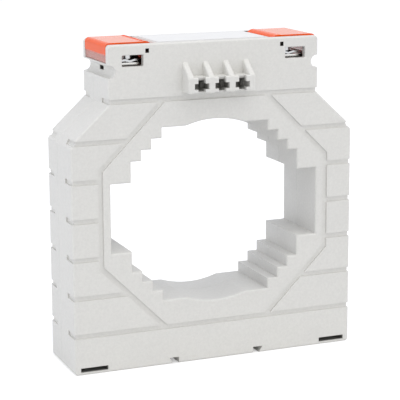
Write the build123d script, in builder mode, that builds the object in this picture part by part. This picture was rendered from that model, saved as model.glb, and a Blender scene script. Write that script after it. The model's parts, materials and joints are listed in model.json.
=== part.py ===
from build123d import *
import os

os.makedirs("parts", exist_ok=True)

# A window current transformer: a two-part moulded case round a stepped busbar window,
# a wound ring core inside, and a terminal head on top with a hinged cover at each end.
# Millimetres. X runs along the width, Y from front to back, Z up from the base.

# Case
case_depth = 36.0
front_depth = 21.0
wall = 2.2
base_wall = 5.2
base_room = 7.95
side_room = 0.7
base_corner = 1.5
bevel_in = 2.5
bevel_rise = 4.3
shoulder_drop = 6.55
shoulder_rise = 18.7
head_width = 104.0
head_corner = 1.6
front_edge = 0.9
seam_soft = 0.2

# Busbar window: half width and half height of each step, and the bulge for a round conductor
window_steps = [(51.5, 16.1), (41.6, 25.8), (36.6, 30.8), (31.6, 35.7), (26.5, 40.6)]
round_bulge = 2.5
round_blend = 5.0

# Shallow channels that divide the faces into panels
channel_width = 2.3
channel_depth = 0.8
channel_reach = 9.5
band_pairs = 3
ring_side_margin = 6.0
ring_top_margin = 11.6
ring_side_flat = 23.1

# Wound core, from its outer wrap inwards
coil_clearance = 0.4
coil_corner = 30.0
pad_thickness = 1.8
pad_inset = 2.0
tape_thickness = 0.4
winding_thickness = 1.6
insulation_thickness = 0.8
layer_gap = 0.1
core_thickness = 6.8

# Terminal head, with lengths along X taken from its ends and heights from its chamber floor or top
lead_room = 4.85
floor_slab = 3.0
chamber_depth = 12.6
chamber_wall = 3.0
sill_width = 5.5
sill_height = 4.1
terminal_window_in = 11.8
terminal_window_rise = 5.2
terminal_window_width = 10.2
terminal_window_height = 5.2
terminal_window_corner = 0.6
window_bevel = 0.3
end_groove_drop = 12.0
end_groove_radius = 3.0
end_groove_in = 0.6
seal_hole_height = 2.0
seal_hole_length = 5.6
seal_hole_y = 1.4

# Hinged covers, with the roll's angle in degrees
hinge_in = 18.7
hinge_drop = 3.1
hinge_hole_width = 1.8
hinge_hole_height = 2.0
hinge_pin_radius = 0.75
hinge_pin_length = 1.0
roll_radius = 4.0
roll_gap = 0.3
roll_angle = 110
cheek_thickness = 1.5
cover_thickness = 1.2
cover_proud = 0.7
cover_gap = 0.3
cover_skirt_drop = 4.4
cover_lip = 0.6
cover_lip_gap = 0.25
cover_corner = 2.0
swing_room = 1.5

# Rack of crossed sockets on the front of the head
socket_pitch = 10.0
socket_count = 3
rack_out = 8.0
rack_rise = 4.3
rack_height = 7.1
rack_soft = 0.7
rib_rise = 6.4
rib_width = 2.9
rib_soft = 0.9
rib_bend = 1.5
socket_slot_height = 2.7
socket_slot_rise = 3.0
socket_slot_depth = 6.8
socket_key_width = 3.7
socket_key_depth = 2.4
socket_bore_height = 5.2
socket_bore_depth = 9.4

# Base slots and hooks for mounting feet
foot_slot_in = 9.4
foot_slot_width = 13.2
foot_slot_height = 2.1
foot_slot_z = 2.3
foot_slot_depth = 9.0
hook_inner_x = 19.0
hook_mouth = 3.1
hook_undercut = 1.8
hook_height = 3.0

# Terminals, each with two screws either side of a land in the middle of the bar
base_height = 2.7
base_inner_in = 17.0
bar_thickness = 1.2
bar_inner_in = 18.4
bar_short = 2.0
bar_end_gap = 0.3
leg_half_width = 4.0
leg_over = 0.8
leg_gap = 0.3
screw_in = 12.5
bar_land = 1.8
screw_radius = 1.95
screw_head_radius = 3.4
screw_head_height = 2.8
screw_slot = 0.9
screw_slot_depth = 1.3
screw_cross = 4.4
screw_head_soft = 0.4
thread_gap = 0.05
floor_gap = 0.3
screw_hole_gap = 0.2
saddle_width = 9.4
saddle_length = 9.6
saddle_thickness = 0.9
saddle_rise = 0.65
saddle_edge_rise = 0.35
saddle_bend = 1.0
nut_size = 7.0
nut_height = 2.5
nut_gap = 0.2
lead_radius = 0.9
lead_drop = 1.2
lead_in = 7.0

# Blank plate on top
label_in = 6.3
label_side = 4.0
label_thickness = 0.5
label_recess = 0.3
label_gap = 0.2
label_corner = 1.0

# How far a cut runs past the surface it starts from, and how near counts as the same place
over = 1.0
near = 0.1

# Worked-out sizes of the coil and, from them, of the case
sides = {"left": -1, "right": 1}
widest_step = window_steps[0][0]
highest_step_width, highest_step = window_steps[-1]
round_bar_radius = highest_step + round_bulge
wrap = tape_thickness + winding_thickness + insulation_thickness + 3 * layer_gap
coil_build = core_thickness + 2 * wrap
coil_half_width = widest_step + wall + coil_clearance
coil_half_height = round_bar_radius + wall + coil_clearance
window_z = base_wall + base_room + coil_build + coil_half_height
coil_top = window_z + coil_half_height + coil_build
half_width = coil_half_width + coil_build + side_room + wall
half_depth = case_depth / 2
core_strip = case_depth - 2 * (wall + pad_thickness + wrap)
coil_half_depth = core_strip / 2 + wrap

# Worked-out heights of the case and its head
shoulder_top = coil_top - shoulder_drop
side_top = shoulder_top - shoulder_rise
head_ceiling = coil_top + lead_room
chamber_floor = head_ceiling + floor_slab
case_height = chamber_floor + chamber_depth
sill_z = chamber_floor + sill_height
terminal_window_z = chamber_floor + terminal_window_rise
hinge_z = case_height - hinge_drop
cover_skirt_z = case_height - cover_skirt_drop
cover_top = case_height + cover_proud
end_groove_z = case_height - end_groove_drop
rack_bottom = shoulder_top + rack_rise
rack_top = rack_bottom + rack_height
rack_middle = rack_bottom + rack_height / 2
bar_bottom = chamber_floor + base_height
bar_top = bar_bottom + bar_thickness
saddle_top = bar_top + saddle_rise + saddle_thickness
lead_z = head_ceiling - lead_drop
leg_bottom = lead_z - lead_radius - leg_over

# Worked-out places along X and Y
head_half = head_width / 2
sill_x = head_half - sill_width
terminal_window_x = head_half - terminal_window_in
hinge_x = head_half - hinge_in
chamber_inner_x = hinge_x - roll_radius - roll_gap
chamber_half_depth = half_depth - chamber_wall
bar_inner_x = head_half - bar_inner_in
bar_outer_x = sill_x - bar_end_gap
bar_half_length = chamber_half_depth - bar_short
base_inner_x = head_half - base_inner_in
leg_x = bar_inner_x + bar_thickness / 2
screw_x = head_half - screw_in
screw_y = (bar_half_length + bar_land) / 2
lead_x = chamber_inner_x - lead_in
label_half_length = hinge_x - label_in
label_half_depth = half_depth - label_side
foot_slot_x = half_width - foot_slot_in
rib_slope = rib_rise / rack_out
ring_half_width = widest_step + ring_side_margin
ring_half_height = round_bar_radius + ring_top_margin
ring_corner = ring_half_width + ring_side_flat
channel_pitch = (ring_half_height - channel_width / 2) / band_pairs

# Planes that the profiles are drawn on
parting_y = front_depth - half_depth
mid_plane = Plane.XZ
parting_plane = Plane.XZ.offset(-parting_y)
front_plane = Plane.XZ.offset(half_depth)
rear_plane = Plane(origin=(0, half_depth, 0), x_dir=(-1, 0, 0), z_dir=(0, 1, 0))
rack_face = front_plane.offset(rack_out)


def socket_places(height):
    """Middle of each socket across the rack, at one height."""
    first = -(socket_count - 1) * socket_pitch / 2
    return [(first + n * socket_pitch, height) for n in range(socket_count)]


# Outline of the case from the front: straight sides, bevel, shoulder and head
with BuildSketch() as case_outline:
    with BuildLine():
        Polyline(
            (0, 0),
            (half_width, 0),
            (half_width, side_top),
            (half_width - bevel_in, side_top + bevel_rise),
            (head_half, shoulder_top),
            (head_half, case_height),
            (0, case_height),
        )
        mirror(about=Plane.YZ)
    make_face()

# Stepped busbar window with a round bulge above and below for a round conductor
with BuildSketch() as window_outline:
    with Locations((0, window_z)):
        for step_half_width, step_half_height in window_steps:
            Rectangle(2 * step_half_width, 2 * step_half_height)
        Circle(round_bar_radius)
    bulge_ends = [
        v
        for v in vertices()
        if abs(abs(v.Y - window_z) - highest_step) < near
        and abs(v.X) < highest_step_width - near
    ]
    fillet(bulge_ends, radius=round_blend)

with BuildSketch() as window_wall:
    add(window_outline.sketch)
    offset(amount=wall, kind=Kind.INTERSECTION)

# Hollow of the case: one wall inside the outline, with a solid foot and a narrower head
with BuildSketch() as cavity_outline:
    add(case_outline.sketch)
    offset(amount=-wall, kind=Kind.INTERSECTION)
    with Locations((0, base_wall)):
        Rectangle(2 * half_width, base_wall, align=(Align.CENTER, Align.MAX), mode=Mode.SUBTRACT)
    with Locations((0, shoulder_top + 2 * wall)):
        Rectangle(2 * half_width, case_height, align=(Align.CENTER, Align.MIN), mode=Mode.SUBTRACT)
    with Locations((0, shoulder_top)):
        Rectangle(
            2 * (sill_x - wall),
            head_ceiling - shoulder_top,
            align=(Align.CENTER, Align.MIN),
        )
        Rectangle(
            2 * (chamber_inner_x - wall),
            case_height - wall - shoulder_top,
            align=(Align.CENTER, Align.MIN),
        )
    add(window_wall.sketch, mode=Mode.SUBTRACT)

# Level bands at an even pitch, the middle one at the window's middle
with BuildSketch() as channel_bands:
    with Locations((0, window_z)):
        with GridLocations(0, channel_pitch, 1, 2 * band_pairs + 1):
            Rectangle(2 * (half_width + over), channel_width)


def octagon(inset):
    """Octagon round the window, inset evenly from the outer edge of the ring channel."""
    half_x = ring_half_width - inset
    half_z = ring_half_height - inset
    corner = ring_corner - inset * 2**0.5
    with BuildSketch() as panel:
        with BuildLine():
            Polyline(
                (0, window_z + half_z),
                (corner - half_z, window_z + half_z),
                (half_x, window_z + corner - half_x),
                (half_x, window_z - corner + half_x),
                (corner - half_z, window_z - half_z),
                (0, window_z - half_z),
            )
            mirror(about=Plane.YZ)
        make_face()
    return panel.sketch


with BuildSketch() as channel_pattern:
    add(case_outline.sketch)
    add(channel_bands.sketch, mode=Mode.INTERSECT)
    add(octagon(0), mode=Mode.SUBTRACT)
    add(octagon(0) - octagon(channel_width))

with BuildSketch() as case_core:
    add(case_outline.sketch)
    offset(amount=-channel_depth, kind=Kind.INTERSECTION)

with BuildSketch() as edge_notches:
    add(case_outline.sketch)
    add(case_core.sketch, mode=Mode.SUBTRACT)
    add(channel_bands.sketch, mode=Mode.INTERSECT)

with BuildSketch() as case_face:
    add(case_outline.sketch)
    fillet([v for v in vertices() if v.Y < near and abs(v.X) > near], radius=base_corner)
    top_corners = [v for v in vertices() if v.Y > case_height - near and abs(v.X) > near]
    fillet(top_corners, radius=head_corner)
    add(window_outline.sketch, mode=Mode.SUBTRACT)


def cut_channels(face_plane):
    """Cut the panel channels into one face, with their short returns round the sides."""
    extrude(face_plane * channel_pattern.sketch, amount=-channel_depth, mode=Mode.SUBTRACT)
    extrude(face_plane * edge_notches.sketch, amount=-channel_reach, mode=Mode.SUBTRACT)


def cut_through(profile, reach):
    """Cut a profile that is drawn on both sides of the middle, as far as the reach each way."""
    extrude(mid_plane * profile, amount=reach, both=True, mode=Mode.SUBTRACT)


# Profiles of the head, drawn on both sides
with BuildSketch() as end_grooves:
    with Locations(*[(side * (head_half - end_groove_in), end_groove_z) for side in sides.values()]):
        Circle(end_groove_radius)

with BuildSketch() as chambers:
    with BuildLine():
        Polyline(
            (chamber_inner_x, chamber_floor),
            (sill_x, chamber_floor),
            (sill_x, sill_z),
            (head_half + over, sill_z),
            (head_half + over, case_height + over),
            (chamber_inner_x - swing_room, case_height + over),
            (chamber_inner_x, case_height - cover_thickness),
            close=True,
        )
    make_face()
    mirror(about=Plane.YZ)

with BuildSketch() as hinge_holes:
    with Locations(*[(side * hinge_x, hinge_z) for side in sides.values()]):
        Rectangle(hinge_hole_width, hinge_hole_height)

with BuildSketch() as leg_slots:
    with Locations(*[(side * leg_x, chamber_floor) for side in sides.values()]):
        Rectangle(bar_thickness + 2 * leg_gap, 2 * (floor_slab + over))

# Profiles of the base
with BuildSketch() as foot_slots:
    with Locations(*[(side * foot_slot_x, foot_slot_z) for side in sides.values()]):
        Rectangle(foot_slot_width, foot_slot_height)

with BuildSketch() as foot_hooks:
    with BuildLine():
        Polyline(
            (hook_inner_x, 0),
            (hook_inner_x + hook_mouth, 0),
            (hook_inner_x + hook_mouth + hook_undercut, hook_height),
            (hook_inner_x, hook_height),
            close=True,
        )
    make_face()
    mirror(about=Plane.YZ)


def cut_both_housings(face_plane):
    """Cut what the front and rear housings share, seen from the given face."""
    cut_channels(face_plane)
    cut_through(end_grooves.sketch, case_depth)
    cut_through(chambers.sketch, chamber_half_depth)
    cut_through(hinge_holes.sketch, case_depth)
    cut_through(leg_slots.sketch, leg_half_width + leg_gap)
    cut_through(foot_hooks.sketch, case_depth)
    extrude(face_plane * foot_slots.sketch, amount=-foot_slot_depth, mode=Mode.SUBTRACT)
    seal_x = (sill_x + head_half) / 2
    with Locations(*[(side * seal_x, seal_hole_y, end_groove_z) for side in sides.values()]):
        Box(sill_width, seal_hole_length, seal_hole_height, mode=Mode.SUBTRACT)
    with Locations((0, 0, case_height)):
        Box(2 * label_half_length, 2 * label_half_depth, 2 * label_recess, mode=Mode.SUBTRACT)


# Solid bar of the socket rack, between the middles of its outer ribs
with BuildPart() as rack_block:
    with BuildSketch(front_plane.offset(-wall / 2)):
        with Locations((0, rack_middle)):
            Rectangle(socket_count * socket_pitch, rack_height)
    extrude(amount=rack_out + wall / 2)
    face_edges = rack_block.faces().sort_by(Axis.Y)[0].edges().filter_by(Axis.X)
    fillet(face_edges, radius=rack_soft)

# One sloping rib of the rack, softened along its face and its slope
with BuildPart() as rack_rib:
    with BuildSketch(Plane.YZ.offset(-rib_width / 2)):
        with BuildLine():
            Polyline(
                (-half_depth - rack_out, rack_bottom),
                (-half_depth - rack_out, rack_top),
                (-half_depth + wall / 2, rack_top + rib_rise + rib_slope * wall / 2),
                (-half_depth + wall / 2, rack_bottom),
                close=True,
            )
        make_face()
        rib_knee = [v for v in vertices() if v.X < -half_depth - near and v.Y > rack_top - near]
        fillet(rib_knee, radius=rib_bend)
    extrude(amount=rib_width)
    rib_front = [
        e
        for e in rack_rib.edges().filter_by(Axis.X, reverse=True)
        if e.center().Z > rack_bottom + near and e.center().Y < -half_depth + wall / 2 - near
    ]
    fillet(rib_front, radius=rib_soft)

# Front housing, with the socket rack and the terminal windows
with BuildPart() as front_housing:
    with BuildSketch(parting_plane):
        add(case_face.sketch)
    extrude(amount=front_depth)
    fillet(front_housing.faces().sort_by(Axis.Y)[0].edges(), radius=front_edge)
    chamfer(front_housing.faces().sort_by(Axis.Y)[-1].edges(), length=seam_soft)
    with BuildSketch(parting_plane):
        add(cavity_outline.sketch)
    extrude(amount=front_depth - wall, mode=Mode.SUBTRACT)
    cut_both_housings(front_plane)
    add(rack_block.part)
    for rib in range(socket_count + 1):
        with Locations(((rib - socket_count / 2) * socket_pitch, 0, 0)):
            add(rack_rib.part)
    with BuildSketch(rack_face):
        with Locations(*socket_places(rack_middle)):
            Rectangle(socket_key_width, rack_height)
    extrude(amount=-socket_key_depth, mode=Mode.SUBTRACT)
    with BuildSketch(rack_face):
        with Locations(*socket_places(rack_bottom + socket_slot_rise)):
            Rectangle(socket_pitch - rib_width, socket_slot_height)
    extrude(amount=-socket_slot_depth, mode=Mode.SUBTRACT)
    with BuildSketch(rack_face):
        with Locations(*socket_places(rack_bottom + socket_slot_rise)):
            Rectangle(socket_key_width, socket_bore_height)
    extrude(amount=-socket_bore_depth, mode=Mode.SUBTRACT)
    with BuildSketch(front_plane):
        with Locations((0, terminal_window_z)):
            with GridLocations(2 * terminal_window_x, 1, 2, 1):
                RectangleRounded(
                    terminal_window_width,
                    terminal_window_height,
                    terminal_window_corner,
                )
    extrude(amount=-chamber_wall - over, mode=Mode.SUBTRACT)
    with BuildSketch(front_plane):
        with Locations((0, terminal_window_z)):
            with GridLocations(2 * terminal_window_x, 1, 2, 1):
                RectangleRounded(
                    terminal_window_width + 2 * window_bevel,
                    terminal_window_height + 2 * window_bevel,
                    terminal_window_corner + window_bevel,
                )
    extrude(amount=-window_bevel, taper=45, mode=Mode.SUBTRACT)
front_housing.part.label = "front_housing"
export_step(front_housing.part, "parts/front_housing.step")

# Rear housing, which closes the case at the parting face
with BuildPart() as rear_housing:
    with BuildSketch(parting_plane):
        add(case_face.sketch)
    extrude(amount=front_depth - case_depth)
    fillet(rear_housing.faces().sort_by(Axis.Y)[-1].edges(), radius=front_edge)
    chamfer(rear_housing.faces().sort_by(Axis.Y)[0].edges(), length=seam_soft)
    with BuildSketch(parting_plane):
        add(cavity_outline.sketch)
    extrude(amount=front_depth - case_depth + wall, mode=Mode.SUBTRACT)
    cut_both_housings(rear_plane)
rear_housing.part.label = "rear_housing"
export_step(rear_housing.part, "parts/rear_housing.step")


def coil_band(inset):
    """Oval band of the coil round the window, inset evenly from its outer skin."""
    with BuildSketch() as band:
        with Locations((0, window_z)):
            RectangleRounded(
                2 * (coil_half_width + coil_build - inset),
                2 * (coil_half_height + coil_build - inset),
                coil_corner + coil_build - inset,
            )
            RectangleRounded(
                2 * (coil_half_width + inset),
                2 * (coil_half_height + inset),
                coil_corner + inset,
                mode=Mode.SUBTRACT,
            )
    return band.sketch


# Wound core and its layers, from the outer wrap inwards
layers = {
    "winding_tape": (0, tape_thickness),
    "secondary_winding": (tape_thickness + layer_gap, winding_thickness),
    "core_insulation": (tape_thickness + winding_thickness + 2 * layer_gap, insulation_thickness),
}
for name, (inset, thickness) in layers.items():
    with BuildPart() as layer:
        extrude(mid_plane * coil_band(inset), amount=coil_half_depth - inset, both=True)
        inner = inset + thickness
        extrude(
            mid_plane * coil_band(inner),
            amount=coil_half_depth - inner,
            both=True,
            mode=Mode.SUBTRACT,
        )
    layer.part.label = name
    export_step(layer.part, f"parts/{name}.step")

with BuildPart() as magnetic_core:
    extrude(mid_plane * coil_band(wrap), amount=core_strip / 2, both=True)
magnetic_core.part.label = "magnetic_core"
export_step(magnetic_core.part, "parts/magnetic_core.step")

# Foam pads between the coil and the two faces of the case
for name, face_y in {"front_coil_pad": -coil_half_depth, "rear_coil_pad": half_depth - wall}.items():
    with BuildPart() as pad:
        extrude(Plane.XZ.offset(-face_y) * coil_band(pad_inset), amount=pad_thickness)
    pad.part.label = name
    export_step(pad.part, f"parts/{name}.step")

# Terminals: moulded base, two nuts, flat bar with a soldering leg, clamp plates and screws
for side_name, side in sides.items():
    middle_x = side * screw_x
    base_length = bar_outer_x - base_inner_x
    base_middle = side * (bar_outer_x + base_inner_x) / 2
    bar_plane_x = sorted([side * bar_outer_x, side * bar_inner_x])
    screw_places = [(middle_x, -screw_y), (middle_x, screw_y)]

    with BuildPart() as terminal_base:
        with BuildSketch(Plane.XY.offset(chamber_floor)):
            with Locations((base_middle, 0)):
                Rectangle(base_length, 2 * bar_half_length)
            with Locations(*screw_places):
                Rectangle(nut_size + nut_gap, nut_size + nut_gap, mode=Mode.SUBTRACT)
        extrude(amount=bar_bottom - chamber_floor)
    terminal_base.part.label = f"{side_name}_terminal_base"
    export_step(terminal_base.part, f"parts/{side_name}_terminal_base.step")

    with BuildPart() as terminal_nuts:
        with BuildSketch(Plane.XY.offset(bar_bottom)):
            with Locations(*screw_places):
                Rectangle(nut_size, nut_size)
                Circle(screw_radius + thread_gap, mode=Mode.SUBTRACT)
        extrude(amount=-nut_height)
    terminal_nuts.part.label = f"{side_name}_terminal_nuts"
    export_step(terminal_nuts.part, f"parts/{side_name}_terminal_nuts.step")

    with BuildPart() as terminal_bar:
        with BuildSketch(Plane.XY.offset(bar_bottom)):
            with Locations(((bar_plane_x[0] + bar_plane_x[1]) / 2, 0)):
                Rectangle(bar_plane_x[1] - bar_plane_x[0], 2 * bar_half_length)
            with Locations(*screw_places):
                Circle(screw_radius + screw_hole_gap, mode=Mode.SUBTRACT)
        extrude(amount=bar_thickness)
        with BuildSketch(Plane.XY.offset(bar_bottom)):
            with Locations((side * leg_x, 0)):
                Rectangle(bar_thickness, 2 * leg_half_width)
        extrude(amount=leg_bottom - bar_bottom)
    terminal_bar.part.label = f"{side_name}_terminal_bar"
    export_step(terminal_bar.part, f"parts/{side_name}_terminal_bar.step")

    # Saddle plates: a shallow valley under each screw, with the head on the two ridges
    ridge_x = saddle_width / 4
    edge_x = saddle_width / 2
    with BuildPart() as clamp_plates:
        for place_x, place_y in screw_places:
            with BuildSketch(Plane.XZ.offset(-place_y - saddle_length / 2)):
                with BuildLine():
                    Polyline(
                        (place_x - edge_x, bar_top + saddle_edge_rise),
                        (place_x - ridge_x, bar_top + saddle_rise),
                        (place_x, bar_top),
                        (place_x + ridge_x, bar_top + saddle_rise),
                        (place_x + edge_x, bar_top + saddle_edge_rise),
                        (place_x + edge_x, bar_top + saddle_edge_rise + saddle_thickness),
                        (place_x + ridge_x, saddle_top),
                        (place_x, bar_top + saddle_thickness),
                        (place_x - ridge_x, saddle_top),
                        (place_x - edge_x, bar_top + saddle_edge_rise + saddle_thickness),
                        close=True,
                    )
                make_face()
                bends = [v for v in vertices() if abs(v.X - place_x) < edge_x - near]
                fillet(bends, radius=saddle_bend)
            extrude(amount=saddle_length)
        with BuildSketch(Plane.XY.offset(bar_top - over)):
            with Locations(*screw_places):
                Circle(screw_radius + screw_hole_gap)
        extrude(amount=saddle_top + 2 * over - bar_top, mode=Mode.SUBTRACT)
    clamp_plates.part.label = f"{side_name}_clamp_plates"
    export_step(clamp_plates.part, f"parts/{side_name}_clamp_plates.step")

    with BuildPart() as terminal_screws:
        with BuildSketch(Plane.XY.offset(saddle_top)):
            with Locations(*screw_places):
                Circle(screw_head_radius)
        extrude(amount=screw_head_height)
        chamfer(
            terminal_screws.edges().group_by(Axis.Z)[-1],
            length=screw_head_soft,
        )
        with BuildSketch(Plane.XY.offset(saddle_top)):
            with Locations(*screw_places):
                Circle(screw_radius)
        extrude(amount=chamber_floor + floor_gap - saddle_top)
        with BuildSketch(Plane.XY.offset(saddle_top + screw_head_height)):
            with Locations(*screw_places):
                Rectangle(2 * screw_head_radius, screw_slot)
                Rectangle(screw_slot, screw_cross)
        extrude(amount=-screw_slot_depth, mode=Mode.SUBTRACT)
    terminal_screws.part.label = f"{side_name}_terminal_screws"
    export_step(terminal_screws.part, f"parts/{side_name}_terminal_screws.step")

    # Lead from the top of the coil to the leg of the bar
    with BuildPart() as lead_wire:
        with BuildLine():
            route = FilletPolyline(
                (side * lead_x, 0, coil_top),
                (side * lead_x, 0, lead_z),
                (side * bar_inner_x, 0, lead_z),
                radius=lead_room / 2,
            )
        with BuildSketch(Plane(origin=route @ 0, z_dir=route % 0)):
            Circle(lead_radius)
        sweep()
    lead_wire.part.label = f"{side_name}_lead_wire"
    export_step(lead_wire.part, f"parts/{side_name}_lead_wire.step")

    # Hinged cover: flat top with a rolled inner end, end wall and a thin see-through lip,
    # and at each end of the roll a cheek with a stub pin
    with BuildPart() as terminal_cover:
        with BuildSketch(mid_plane):
            with BuildLine():
                Polyline(
                    (side * (hinge_x - cover_thickness / 2), cover_top),
                    (side * head_half, cover_top),
                    (side * head_half, cover_skirt_z),
                    (side * (head_half - cover_thickness), cover_skirt_z),
                    (side * (head_half - cover_thickness), cover_top - cover_thickness),
                    (side * (hinge_x - cover_thickness / 2), cover_top - cover_thickness),
                    close=True,
                )
            make_face()
            end_top = [v for v in vertices() if abs(v.X) > head_half - near and v.Y > cover_top - near]
            fillet(end_top, radius=cover_corner)
            with BuildLine():
                outside = CenterArc((side * hinge_x, hinge_z), roll_radius, 90, side * roll_angle)
                inside = CenterArc(
                    (side * hinge_x, hinge_z),
                    roll_radius - cover_thickness,
                    90,
                    side * roll_angle,
                )
                Line(outside @ 0, inside @ 0)
                Line(outside @ 1, inside @ 1)
            make_face()
            lip_x = side * (head_half - cover_thickness / 2)
            lip_bottom = sill_z + cover_lip_gap
            with Locations((lip_x, (cover_skirt_z + lip_bottom) / 2)):
                Rectangle(cover_lip, cover_skirt_z - lip_bottom)
        extrude(amount=chamber_half_depth - cover_gap, both=True)
        for end in sides.values():
            with BuildSketch(Plane.XZ.offset(end * (chamber_half_depth - cover_gap))):
                with Locations((side * hinge_x, hinge_z)):
                    Circle(roll_radius)
            extrude(amount=-end * cheek_thickness)
        with BuildSketch(mid_plane):
            with Locations((side * hinge_x, hinge_z)):
                Circle(hinge_pin_radius)
        extrude(amount=chamber_half_depth + hinge_pin_length, both=True)
        with BuildSketch(mid_plane):
            with Locations((side * hinge_x, hinge_z)):
                Circle(hinge_pin_radius)
        inner_reach = chamber_half_depth - cover_gap - cheek_thickness
        extrude(amount=inner_reach, both=True, mode=Mode.SUBTRACT)
    terminal_cover.part.label = f"{side_name}_terminal_cover"
    export_step(terminal_cover.part, f"parts/{side_name}_terminal_cover.step")

# Blank plate between the covers
with BuildPart() as label_plate:
    with BuildSketch(Plane.XY.offset(case_height - label_recess)):
        RectangleRounded(
            2 * (label_half_length - label_gap),
            2 * (label_half_depth - label_gap),
            label_corner,
        )
    extrude(amount=label_thickness)
label_plate.part.label = "label_plate"
export_step(label_plate.part, "parts/label_plate.step")
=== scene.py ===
"""Looks for the window current transformer: finishes, floor, light and camera."""

import json
import math

import bpy
from mathutils import Matrix, Vector

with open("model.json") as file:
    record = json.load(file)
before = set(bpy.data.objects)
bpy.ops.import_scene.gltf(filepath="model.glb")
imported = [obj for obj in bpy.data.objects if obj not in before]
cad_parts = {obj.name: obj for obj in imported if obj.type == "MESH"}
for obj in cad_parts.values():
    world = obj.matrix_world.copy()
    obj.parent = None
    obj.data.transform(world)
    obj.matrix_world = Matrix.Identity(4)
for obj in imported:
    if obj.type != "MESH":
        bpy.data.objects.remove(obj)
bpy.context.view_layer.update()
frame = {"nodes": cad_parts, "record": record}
nodes = frame["nodes"]
millimetre = 0.001

# Where shade is painted into the depths of the case, in millimetres from the middle of its base: each has
# a middle, a reach and a soft edge along X, Y and Z, and is the same on the left and the right
pin_holes = ((33.3, 1.5, 0.5), (16.4, 1.5, 0.4), (147.9, 1.5, 0.4))
foot_slots = ((60.6, 7.0, 0.3), (13.0, 4.6, 0.8), (2.3, 1.4, 0.3))
seal_holes = ((46.8, 1.5, 0.4), (1.4, 3.2, 0.4), (139.0, 1.4, 0.4))
chambers = ((37.8, 9.2, 0.3), (0, 15.3, 0.3), (145.0, 7.0, 0.3))
sockets_x = (0, 13.8, 1.0)
sockets_z = (131.85, 3.3, 1.0)
sockets_front = -25.4
sockets_fade = 2.4
sockets_back = -15.9

# Forms of the covers, in the same millimetres
lip_top = 146.6
end_wall = 50.5
# The coated top, which also gets a paler tone as painted sheen
coat_x = (42.4, 7.6, 0.8)
coat_y = (0, 13.4, 0.8)
coat_bottom = 151.4
coat_fade = 0.2
# Where shade is painted on the thick roll of each cover and on the ends of its pins
roll_top = 150.3
roll_top_fade = 0.6
roll_end = 37.8
roll_end_fade = 0.4
pin_start = 15.0
pin_fade = 0.3


class Socket:
    """A shader socket that can stand in sums: each sign adds its Math node."""

    def __init__(self, finish, socket):
        self.finish = finish
        self.socket = socket

    def maths(self, operation, *values):
        return self.finish.make("ShaderNodeMath", {"operation": operation}, dict(enumerate(values)))

    def __add__(self, other):
        return self.maths("ADD", self, other)

    def __radd__(self, other):
        return self.maths("ADD", other, self)

    def __sub__(self, other):
        return self.maths("SUBTRACT", self, other)

    def __rsub__(self, other):
        return self.maths("SUBTRACT", other, self)

    def __mul__(self, other):
        return self.maths("MULTIPLY", self, other)

    def __rmul__(self, other):
        return self.maths("MULTIPLY", other, self)

    def __truediv__(self, other):
        return self.maths("DIVIDE", self, other)

    def clamped(self):
        return self.maths("MINIMUM", self.maths("MAXIMUM", self, 0.0), 1.0)

    def size(self):
        return self.maths("ABSOLUTE", self)

    def within(self, middle, reach, soft):
        """1 where the value is within its reach of the middle, falling to 0 over a soft edge."""
        return ((reach - (self - middle).size()) / soft).clamped()


class Finish:
    """One material of the part, or the studio's light, made from expressions on its sockets."""

    def __init__(self, owner, coordinates="Object"):
        owner.use_nodes = True
        self.owner = owner
        self.tree = owner.node_tree
        self.tree.nodes.clear()
        self.place = self.make("ShaderNodeTexCoord", output=coordinates)

    def make(self, kind, settings=None, inputs=None, output=0):
        """A node of a kind: its settings first, then the values or links of its sockets."""
        node = self.tree.nodes.new(kind)
        for key, value in (settings or {}).items():
            setattr(node, key, value)
        for key, value in (inputs or {}).items():
            if isinstance(value, Socket):
                self.tree.links.new(value.socket, node.inputs[key])
            else:
                node.inputs[key].default_value = value
        return Socket(self, node.outputs[output])

    def blend(self, share, first, second):
        """A colour that goes from the first to the second as the share goes from 0 to 1."""
        settings = {"data_type": "RGBA", "blend_type": "MIX"}
        return self.make("ShaderNodeMix", settings, {0: share, 6: first, 7: second}, output=2)

    def stretched(self, stretch):
        """Object coordinates stretched along the axes, for brushed and wound patterns."""
        return self.make("ShaderNodeMapping", None, {"Vector": self.place, "Scale": stretch})

    def noise(self, across, detail=2.0, roughness=0.5, where=None):
        """Noise whose features are about so many millimetres across, from 0 to 1."""
        inputs = {
            "Vector": where or self.place,
            "Scale": 1.0 / (across * millimetre),
            "Detail": detail,
            "Roughness": roughness,
        }
        return self.make("ShaderNodeTexNoise", None, inputs)

    def axes(self):
        """The three coordinates, in metres."""
        kind = "ShaderNodeSeparateXYZ"
        return [self.make(kind, None, {0: self.place}, output=n) for n in range(3)]

    def axes_in_millimetres(self):
        return [axis / millimetre for axis in self.axes()]

    def bump(self, height, depth):
        """A bumped normal from a height of 0 to 1 and a depth in millimetres."""
        inputs = {"Strength": 1.0, "Distance": depth * millimetre, "Height": height}
        return self.make("ShaderNodeBump", None, inputs)

    def close(self, colour, roughness, normal, **constants):
        """The Principled shader and the output, which end the material."""
        inputs = {"Base Color": colour, "Roughness": roughness, "Normal": normal}
        for name, value in constants.items():
            inputs[name.replace("_", " ").title().replace("Ior", "IOR")] = value
        return self.end(self.make("ShaderNodeBsdfPrincipled", None, inputs))

    def end(self, shader, kind="ShaderNodeOutputMaterial"):
        """Leads a shader to the output of the material or the world."""
        output = self.tree.nodes.new(kind)
        self.tree.links.new(shader.socket, output.inputs["Surface"])
        return self.owner

    def seen(self):
        """1 for what the camera sees directly, in a reflection or through a clear piece, else 0."""
        path = "ShaderNodeLightPath"
        rays = [self.make(path, output=f"Is {kind} Ray") for kind in ("Camera", "Glossy", "Transmission")]
        return (rays[0] + rays[1] + rays[2]).clamped()


def new_finish(name):
    return Finish(bpy.data.materials.new(name))


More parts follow.
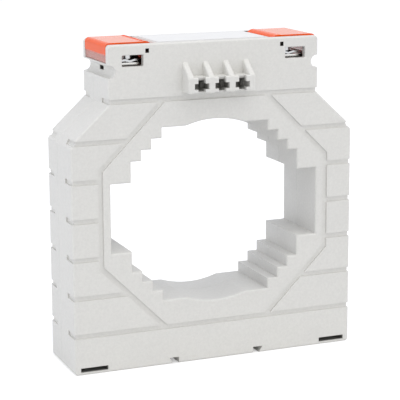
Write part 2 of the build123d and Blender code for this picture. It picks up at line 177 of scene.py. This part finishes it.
def colour(red, green, blue):
    """A colour given as it looks on screen, from 0 to 255, as the shader's linear values."""
    linear = []
    for level in (red, green, blue):
        share = level / 255
        linear.append(share / 12.92 if share <= 0.04045 else ((share + 0.055) / 1.055) ** 2.4)
    return (*linear, 1.0)


def inside(lengths, box):
    """1 inside a box with soft edges, from the lengths along its axes and what it says of each."""
    shares = [length.within(*side) for length, side in zip(lengths, box)]
    return shares[0] * shares[1] * shares[2]


def case_plastic():
    """Pale warm grey moulding with a fine grain, a little mottled, and painted shade in its sockets,
    holes, slots and chambers.
    """
    finish = new_finish("case_plastic")
    grain = finish.noise(1.1, detail=4.0, roughness=0.62)
    fine = finish.noise(0.22, detail=1.0)
    flow = finish.noise(26.0, detail=3.0)
    base = finish.blend(flow, colour(218, 217, 214), colour(223, 222, 218))
    speck = ((grain - 0.5) * 3.0 + 0.5).clamped()
    base = finish.blend(speck * 0.24, base, colour(194, 193, 190))
    across, depth, rise = finish.axes_in_millimetres()
    past_mouth = ((depth - sockets_front) / sockets_fade).clamped() * (sockets_back - depth).clamped()
    painted_socket_shade = across.size().within(*sockets_x) * rise.within(*sockets_z) * past_mouth
    painted_pin_shade = inside((across.size(), depth.size(), rise), pin_holes)
    painted_foot_slot_shade = inside((across.size(), depth.size(), rise), foot_slots)
    painted_seal_hole_shade = inside((across.size(), depth, rise), seal_holes)
    painted_chamber_shade = inside((across.size(), depth, rise), chambers)
    # Painted shade: the sockets' depths are greyed in the colour
    base = finish.blend(painted_socket_shade, base, colour(136, 135, 130))
    # Painted shade: the terminal chambers' walls are darkened in the colour
    base = finish.blend(painted_chamber_shade, base, colour(98, 86, 82))
    # Painted shade: the pin holes, foot slots and seal holes are darkened in the colour
    base = finish.blend((painted_pin_shade + painted_foot_slot_shade * 0.75 + painted_seal_hole_shade).clamped(), base, colour(76, 74, 71))
    height = grain * 0.7 + fine * 0.3
    gloss = 0.52 + (flow - 0.5) * 0.12 + (fine - 0.5) * 0.1
    return finish.close(base, gloss, finish.bump(height, 0.06), ior=1.46)


def cover_plastic():
    """Clear orange-red moulding with a coat on top that is painted paler for sheen, a see-through lip,
    and painted shade on the roll and the pins' ends.
    """
    finish = new_finish("cover_plastic")
    cloud = finish.noise(7.0, detail=3.0)
    ripple = finish.noise(3.0, detail=1.0)
    base = finish.blend(cloud, colour(250, 86, 4), colour(253, 98, 12))
    across, depth, rise = finish.axes_in_millimetres()
    lip = (lip_top - rise).clamped() * (across.size() - end_wall).clamped()
    base = finish.blend(lip, base, colour(228, 182, 174))
    # Painted sheen: the coated top is paler, standing in for its glancing reflection
    coat_and_painted_sheen = across.size().within(*coat_x) * depth.within(*coat_y)
    coat_and_painted_sheen = coat_and_painted_sheen * ((rise - coat_bottom) / coat_fade).clamped()
    base = finish.blend(coat_and_painted_sheen, base, colour(244, 124, 86))
    # Painted shade: the thick roll by the hinge is darkened in the colour
    below = ((roll_top - rise) / roll_top_fade).clamped()
    painted_roll_shade = below * ((roll_end - across.size()) / roll_end_fade).clamped()
    base = finish.blend(painted_roll_shade, base, colour(140, 40, 18))
    # Painted shade: the ends of the pins are darkened in the colour
    painted_pin_shade = ((depth.size() - pin_start) / pin_fade).clamped()
    base = finish.blend(painted_pin_shade, base, colour(52, 26, 20))
    gloss = 0.16 + (cloud - 0.5) * 0.08 + coat_and_painted_sheen * 0.16
    clear = 1 - lip * 0.55
    return finish.close(
        base,
        gloss,
        finish.bump(ripple, 0.03),
        alpha=clear,
        coat_weight=coat_and_painted_sheen * 0.6,
        coat_roughness=0.2,
        ior=1.49,
        specular_ior_level=0.12,
        transmission_weight=0.12,
    )


def base_plastic():
    """Dark moulding of the terminal bases."""
    finish = new_finish("base_plastic")
    grain = finish.noise(0.4, detail=2.0)
    base = finish.blend(grain, colour(38, 37, 37), colour(52, 50, 49))
    return finish.close(base, 0.45 + grain * 0.15, finish.bump(grain, 0.03))


def metal(name, dark, light, line_width, roughness, scratch=0.01, stretch=(1, 0.06, 1)):
    """Plated or ground metal: fine lines drawn along one axis and soft patches of dull film."""
    finish = new_finish(name)
    lines = finish.noise(line_width, detail=3.0, where=finish.stretched(stretch))
    patches = finish.noise(4.0, detail=3.0)
    base = finish.blend(patches, dark, light)
    gloss = roughness + (lines - 0.5) * 0.18 + (patches - 0.5) * 0.14
    return finish.close(base, gloss, finish.bump(lines, scratch), metallic=1.0)


def plated_metal():
    return metal("plated_metal", colour(222, 221, 217), colour(238, 237, 234), 0.2, 0.16)


def screw_metal():
    return metal("screw_metal", colour(196, 197, 198), colour(220, 221, 221), 0.25, 0.2)


def core_steel():
    """Wound steel strip, drawn deeper and longer than the terminals' metal."""
    grey = (colour(112, 114, 118), colour(140, 142, 146))
    return metal("core_steel", *grey, 0.3, 0.35, scratch=0.05, stretch=(1, 0.04, 1))


def core_film():
    """Smooth pale film with the faint edges of its wraps."""
    finish = new_finish("core_film")
    wraps = finish.noise(2.5, detail=2.0, where=finish.stretched((0.25, 1.0, 0.25)))
    base = finish.blend(wraps, colour(186, 196, 198), colour(204, 210, 210))
    return finish.close(base, 0.3 + wraps * 0.15, finish.bump(wraps, 0.05))


def copper_wire():
    """Enamelled copper turns laid side by side across the band."""
    finish = new_finish("copper_wire")
    turns = finish.make(
        "ShaderNodeTexWave",
        {"wave_type": "RINGS", "rings_direction": "Y", "wave_profile": "SIN"},
        {"Vector": finish.place, "Scale": 180.0, "Distortion": 1.5, "Detail": 1.0},
        output="Fac",
    )
    base = finish.blend(turns, colour(150, 74, 40), colour(206, 118, 70))
    return finish.close(base, 0.3 + turns * 0.1, finish.bump(turns, 0.2), metallic=0.9)


def tape():
    """Insulating tape: overlapped turns with a fine weave."""
    finish = new_finish("tape")
    weave = finish.noise(0.3, detail=2.0, where=finish.stretched((1.0, 0.5, 1.0)))
    laps = finish.noise(6.0, detail=1.0)
    base = finish.blend(laps, colour(204, 182, 112), colour(222, 202, 138))
    return finish.close(base, 0.5 + weave * 0.2, finish.bump(weave, 0.06))


def foam():
    """Closed-cell foam: small soft pits."""
    finish = new_finish("foam")
    settings = {"feature": "SMOOTH_F1"}
    cells = finish.make("ShaderNodeTexVoronoi", settings, {"Vector": finish.place, "Scale": 1400.0})
    base = finish.blend(cells, colour(48, 48, 50), colour(84, 84, 86))
    return finish.close(base, 0.85 + cells * 0.1, finish.bump(cells, 0.25))


def lead_insulation():
    """Flexible sleeve, nearly black, a little dusty."""
    finish = new_finish("lead_insulation")
    dust = finish.noise(1.5, detail=3.0)
    base = finish.blend(dust, colour(38, 38, 40), colour(66, 66, 68))
    return finish.close(base, 0.5 + dust * 0.2, finish.bump(dust, 0.04))


def blank_plate():
    """Blank white film plate with a satin face."""
    finish = new_finish("label")
    cloud = finish.noise(9.0, detail=2.0)
    fine = finish.noise(0.3, detail=1.0)
    base = finish.blend(cloud, colour(227, 227, 228), colour(233, 233, 233))
    return finish.close(base, 0.4 + (cloud - 0.5) * 0.1, finish.bump(fine, 0.01))


finishes = {
    "case_plastic": case_plastic(),
    "cover_plastic": cover_plastic(),
    "base_plastic": base_plastic(),
    "plated_metal": plated_metal(),
    "screw_metal": screw_metal(),
    "core_steel": core_steel(),
    "core_film": core_film(),
    "copper_wire": copper_wire(),
    "tape": tape(),
    "foam": foam(),
    "lead_insulation": lead_insulation(),
    "label": blank_plate(),
}

for part in frame["record"]["subparts"]:
    thing = nodes[part["node"]]
    thing.data.materials.clear()
    thing.data.materials.append(finishes[part["material_slot"]])

# Floor
floor_half_side = 4.0
floor_paleness = 0.80
floor_lift = 0.38


def floor_finish():
    """Pale matt floor, which a glow that only the camera sees lifts to white."""
    finish = new_finish("floor")
    pale = (floor_paleness, floor_paleness, floor_paleness, 1.0)
    matt = finish.make("ShaderNodeBsdfDiffuse", None, {"Color": pale})
    lift = finish.seen() * floor_lift
    glow = finish.make("ShaderNodeEmission", None, {"Color": (1.0, 1.0, 1.0, 1.0), "Strength": lift})
    return finish.end(finish.make("ShaderNodeAddShader", None, {0: matt, 1: glow}))


def flat_square(name, half):
    """A flat square on the ground, with its middle at the origin."""
    mesh = bpy.data.meshes.new(name)
    corners = [(-half, -half, 0), (half, -half, 0), (half, half, 0), (-half, half, 0)]
    mesh.from_pydata(corners, [], [(0, 1, 2, 3)])
    thing = bpy.data.objects.new(name, mesh)
    bpy.context.scene.collection.objects.link(thing)
    return thing


floor = flat_square("floor", floor_half_side)
floor.data.materials.append(floor_finish())

# Light: three soft lamps that shine on the part's middle, in metres and watts
part_middle = Vector((0, 0, 0.08))


def lamp(name, place, side, power, tint=(1, 1, 1)):
    """A soft square lamp that shines from a place towards the middle of the part."""
    data = bpy.data.lights.new(name, "AREA")
    data.shape = "RECTANGLE"
    data.size = side
    data.size_y = side
    data.energy = power
    data.color = tint
    thing = bpy.data.objects.new(name, data)
    thing.location = place
    thing.rotation_mode = "QUATERNION"
    thing.rotation_quaternion = (part_middle - Vector(place)).to_track_quat("-Z", "Y")
    bpy.context.scene.collection.objects.link(thing)


lamp("key", (-0.7, -1.1, 1.3), 0.9, 1.5)
lamp("top", (0.1, -0.3, 1.4), 1.2, 5.1)
lamp("left", (-1.3, 0.15, 0.55), 0.8, 4.7, tint=(0.95, 0.97, 1.0))

even_light = 0.705
more_from_right = 0.25
more_from_front = 0.32
more_from_above = 0.13
cool_edge = 0.5


def studio_light():
    """Even light from all round, more from the front and above, cool from behind, seen as white."""
    studio = Finish(bpy.data.worlds.new("studio"), "Generated")
    right, back, up = studio.axes()
    level = even_light + right * more_from_right - back * more_from_front + up * more_from_above
    seen = studio.seen()
    strength = seen + (1 - seen) * level
    behind = (1 - seen) * (back / cool_edge).clamped()
    tint = studio.blend(behind, (1.0, 1.0, 1.0, 1.0), (0.88, 0.93, 1.10, 1.0))
    background = studio.make("ShaderNodeBackground", None, {"Color": tint, "Strength": strength})
    return studio.end(background, "ShaderNodeOutputWorld")


bpy.context.scene.world = studio_light()

# Camera: turned 22 degrees to the left of the front and 11 degrees above it
turn = math.radians(22.125)
rise = math.radians(10.746)
lean = math.radians(-0.26)
camera_place = (-0.26582, -0.65211, 0.22603)
forward = Vector((math.sin(turn) * math.cos(rise), math.cos(turn) * math.cos(rise), -math.sin(rise)))
level_right = Vector((math.cos(turn), -math.sin(turn), 0.0))
level_up = level_right.cross(forward)
right = level_right * math.cos(lean) + level_up * math.sin(lean)
up = level_up * math.cos(lean) - level_right * math.sin(lean)
lens = bpy.data.cameras.new("camera")
lens.sensor_width = 36.0
lens.lens = 136.12
lens.shift_y = -0.10
camera = bpy.data.objects.new("camera", lens)
axes = Matrix((right, up, -forward)).transposed().to_4x4()
camera.matrix_world = Matrix.Translation(camera_place) @ axes
bpy.context.scene.collection.objects.link(camera)
bpy.context.scene.camera = camera

scene = bpy.context.scene
scene.view_settings.view_transform = "Standard"
